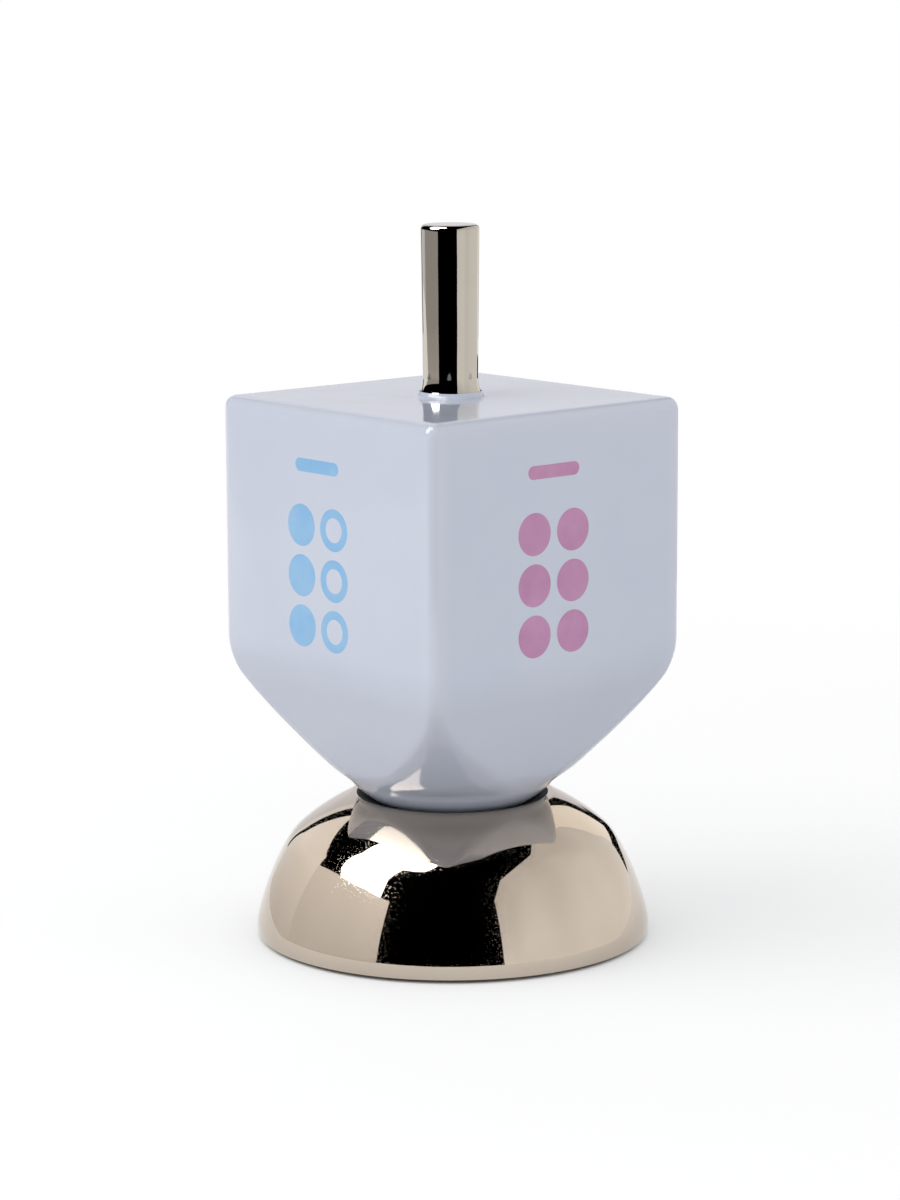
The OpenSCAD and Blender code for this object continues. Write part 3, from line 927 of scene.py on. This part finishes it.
def first_sight(tree):
    """One for light seen straight or by mirrors alone, zero for light that a dull surface spreads."""
    path = tree.nodes.new("ShaderNodeLightPath")
    fresh = tree.nodes.new("ShaderNodeMath")
    fresh.operation = "LESS_THAN"
    tree.links.new(path.outputs["Diffuse Depth"], fresh.inputs[0])
    fresh.inputs[1].default_value = 0.5
    return fresh.outputs[0]


def seen_or_mirrored(tree):
    """One for rays from the camera and for mirrored and transmitted rays, otherwise zero."""
    path = tree.nodes.new("ShaderNodeLightPath")
    total = path.outputs["Is Camera Ray"]
    for name in ("Is Glossy Ray", "Is Transmission Ray"):
        most = tree.nodes.new("ShaderNodeMath")
        most.operation = "MAXIMUM"
        tree.links.new(total, most.inputs[0])
        tree.links.new(path.outputs[name], most.inputs[1])
        total = most.outputs[0]
    return times(tree, total, first_sight(tree))


def board_glow(name, colour, low, high, rise):
    """Lit board, a little uneven, whose brightness runs from low at the table to high at a height."""
    surface = Surface(name)
    split = surface.add("ShaderNodeSeparateXYZ")
    surface.link(surface.place, split.inputs[0])
    uneven = surface.span(surface.noise(160, 1), 0.95, 1.05, 0.3, 0.7)
    strength = times(surface.tree, surface.span(split.outputs["Z"], low, high, 0, rise), uneven)
    surface.show(surface.light(colour, times(surface.tree, strength, first_sight(surface.tree))))
    return surface.material


def flag_black():
    surface = Surface("flag_black")
    surface.show(surface.light((0, 0, 0), 0))
    return surface.material


def studio_card(name, corners, surface):
    """Flat or bent card of the studio that only mirrors show, from pairs of a low and a high corner."""
    columns = len(corners)
    points = [low for low, high in corners] + [high for low, high in corners]
    faces = [(i, i + 1, columns + i + 1, columns + i) for i in range(columns - 1)]
    mesh = bpy.data.meshes.new(name)
    mesh.from_pydata([p * MM for p in points], [], faces)
    mesh.materials.append(surface)
    card = bpy.data.objects.new(name, mesh)
    SCENE.collection.objects.link(card)
    card.visible_camera = False
    card.visible_diffuse = False
    card.visible_shadow = False
    return card


def bent_card(name, distance, tops, surface):
    """Upright card bent round the object at a distance. tops are azimuths and heights of its upper edge."""
    corners = []
    for (azimuth, height), (next_azimuth, next_height) in zip(tops, tops[1:]):
        for i in range(CARD_STEPS + 1):
            share = i / CARD_STEPS
            foot = toward(azimuth + (next_azimuth - azimuth) * share) * distance
            corners.append((foot, foot + UP * (height + (next_height - height) * share)))
    return studio_card(name, corners, surface)


def side_card(name, aside, tops, surface):
    """Upright card along the view, on the right. tops are places toward the camera and heights."""
    feet = [(RIGHT * aside + FRONT * forward, height) for forward, height in tops]
    return studio_card(name, [(foot, foot + UP * height) for foot, height in feet], surface)


BLACK = flag_black()
bent_card("front_flag", 440, [(-49.5, 1050), (28, 1050)], BLACK)
bent_card("left_gap_flag", 1100, [(-46, 2000), (-155, 2000)], BLACK)
bent_card("right_gap_flag", 1100, [(28, 2000), (164, 2000)], BLACK)
roof, ahead, aside = UP * 1200, FRONT * 800, RIGHT * 800
roof_flag = studio_card("roof_flag", [(roof + ahead - aside, roof + ahead + aside),
                                      (roof - ahead - aside, roof - ahead + aside)], BLACK)
roof_flag.visible_diffuse = True
bent_card("left_board", 130, [(-38, 76), (-56, 80), (-78, 75.5), (-97, 66.5)],
          board_glow("left_board_glow", (1, 0.97, 0.94), 0.78, 1.1, 75))
bent_card("left_panel", 130, [(-97, 66.5), (-102, 91.5), (-117, 112), (-140.5, 118)],
          board_glow("left_panel_glow", (1, 0.97, 0.94), 0.82, 1.25, 60))
bent_card("left_wall", 450, [(-46, 125), (-117, 125)],
          board_glow("left_wall_glow", (1, 0.95, 0.92), 1.0, 0.47, 70))
bent_card("left_back_wall", 450, [(-117, 125), (-146, 125)],
          board_glow("left_back_glow", (0.98, 0.98, 1), 0.85, 0.85, 100))
side_card("right_board", 250, [(464, 362), (-124, 450), (-283, 317), (-400, 0.1)],
          board_glow("right_board_glow", (1, 0.985, 0.96), 1.1, 0.8, 330))
bent_card("right_wall", 430, [(112, 700), (139, 480), (152, 330), (157, 160)],
          board_glow("right_wall_glow", (1, 0.96, 0.88), 1.2, 1.2, 100))
bent_card("right_gap_low", 425, [(144, 66), (163, 66)], BLACK)
bent_card("back_wall", 700, [(162, 1100), (203, 1100)],
          board_glow("back_wall_glow", (0.97, 0.96, 1), 0.85, 0.85, 100))

KEY_AZIMUTH = -69
KEY_ELEVATION = 53
KEY_REACH = 800
KEY_HALF_W = 320
KEY_HALF_H = 367
KEY_TILT = 12.6
KEY_RADIANCE = 1.5
KEY_MIRRORED = 7


def make_key():
    """Lamp for the light that the softbox gives. Its bright face is a piece of its own."""
    lamp = bpy.data.lights.new("key", "AREA")
    lamp.shape = "ELLIPSE"
    lamp.size = 2 * KEY_HALF_W * MM
    lamp.size_y = 2 * KEY_HALF_H * MM
    lamp.energy = KEY_RADIANCE * math.pi ** 2 * KEY_HALF_W * KEY_HALF_H * MM ** 2
    key = bpy.data.objects.new("key", lamp)
    SCENE.collection.objects.link(key)
    way = toward(KEY_AZIMUTH, KEY_ELEVATION)
    key.location = way * KEY_REACH * MM
    key.rotation_mode = "QUATERNION"
    key.rotation_quaternion = way.to_track_quat("Z", "Y")
    key.visible_camera = False
    key.visible_glossy = False


def make_key_face():
    """Face of the softbox, a tilted square with very round corners that only mirrors show."""
    surface = Surface("key_face")
    surface.show(surface.light((1, 1, 1), surface.span(first_sight(surface.tree), 0, KEY_MIRRORED)))
    way = toward(KEY_AZIMUTH, KEY_ELEVATION)
    across = UP.cross(way).normalized()
    above = way.cross(across)
    tilt = math.radians(KEY_TILT)
    rim = []
    for c, s in arc((0, 0), 1, 0, 360, 64)[:-1]:
        x = KEY_HALF_W * math.copysign(math.sqrt(abs(c)), c)
        y = KEY_HALF_H * math.copysign(math.sqrt(abs(s)), s)
        rim.append(way * KEY_REACH + across * (x * math.cos(tilt) - y * math.sin(tilt))
                   + above * (x * math.sin(tilt) + y * math.cos(tilt)))
    mesh = bpy.data.meshes.new("key_face")
    mesh.from_pydata([p * MM for p in rim], [], [range(len(rim))])
    mesh.materials.append(surface.material)
    face = bpy.data.objects.new("key_face", mesh)
    SCENE.collection.objects.link(face)
    face.visible_camera = False
    face.visible_diffuse = False
    face.visible_shadow = False


make_key()
make_key_face()


def make_world():
    """Even light for dull surfaces, plain white where the camera or a mirror looks."""
    world = bpy.data.worlds.new("studio")
    world.use_nodes = True
    tree = world.node_tree
    tree.nodes.clear()
    ambient = tree.nodes.new("ShaderNodeBackground")
    ambient.inputs["Color"].default_value = (0.96, 0.98, 1, 1)
    ambient.inputs["Strength"].default_value = 1.1
    white = tree.nodes.new("ShaderNodeBackground")
    white.inputs["Strength"].default_value = 1
    white.inputs["Color"].default_value = (1, 1, 1, 1)
    mix = tree.nodes.new("ShaderNodeMixShader")
    tree.links.new(seen_or_mirrored(tree), mix.inputs[0])
    tree.links.new(ambient.outputs[0], mix.inputs[1])
    tree.links.new(white.outputs[0], mix.inputs[2])
    out = tree.nodes.new("ShaderNodeOutputWorld")
    tree.links.new(mix.outputs[0], out.inputs["Surface"])
    SCENE.world = world


make_world()


FLOOR_LIFT = 0.4
# Inside this distance from the axis the table gets no lift: painted shade under the stand's edge.
FLOOR_PAINTED_SHADE_R = 37.5
FLOOR_LIT = 39.2
FLOOR_NEAR = 120
FLOOR_FAR = 420


def make_floor():
    """White table: paper that keeps the shadow, lifted round the stand's foot but not under its edge, which
    leaves painted shade there, and plain white far away.
    """
    surface = Surface("table_white")
    tree = surface.tree
    surface.set(Base_Color=(0.71, 0.7, 0.69), Roughness=0.9, Specular_IOR_Level=0.0)
    away = surface.add("ShaderNodeVectorMath", operation="LENGTH")
    surface.link(surface.place, away.inputs[0])
    seen = seen_or_mirrored(tree)
    # Painted shade: no lift inside the stand's foot, so the floor under its edge stays dark in any light.
    lift = times(tree, seen, surface.span(away.outputs["Value"], 0, FLOOR_LIFT, FLOOR_PAINTED_SHADE_R, FLOOR_LIT))
    lifted = surface.add("ShaderNodeAddShader")
    surface.link(surface.shader.outputs[0], lifted.inputs[0])
    surface.link(surface.light((1, 1, 1), lift), lifted.inputs[1])
    mix = surface.add("ShaderNodeMixShader")
    far = surface.span(away.outputs["Value"], 0, 1, FLOOR_NEAR, FLOOR_FAR)
    surface.link(times(tree, seen, far), mix.inputs[0])
    surface.link(lifted.outputs[0], mix.inputs[1])
    surface.link(surface.light((1, 1, 1), 1), mix.inputs[2])
    surface.show(mix.outputs[0])
    reach = 4
    mesh = bpy.data.meshes.new("table")
    corners = [(-reach, -reach, 0), (reach, -reach, 0), (reach, reach, 0), (-reach, reach, 0)]
    mesh.from_pydata(corners, [], [(0, 1, 2, 3)])
    mesh.materials.append(surface.material)
    table = bpy.data.objects.new("table", mesh)
    SCENE.collection.objects.link(table)


make_floor()

SCENE.view_settings.view_transform = "Standard"
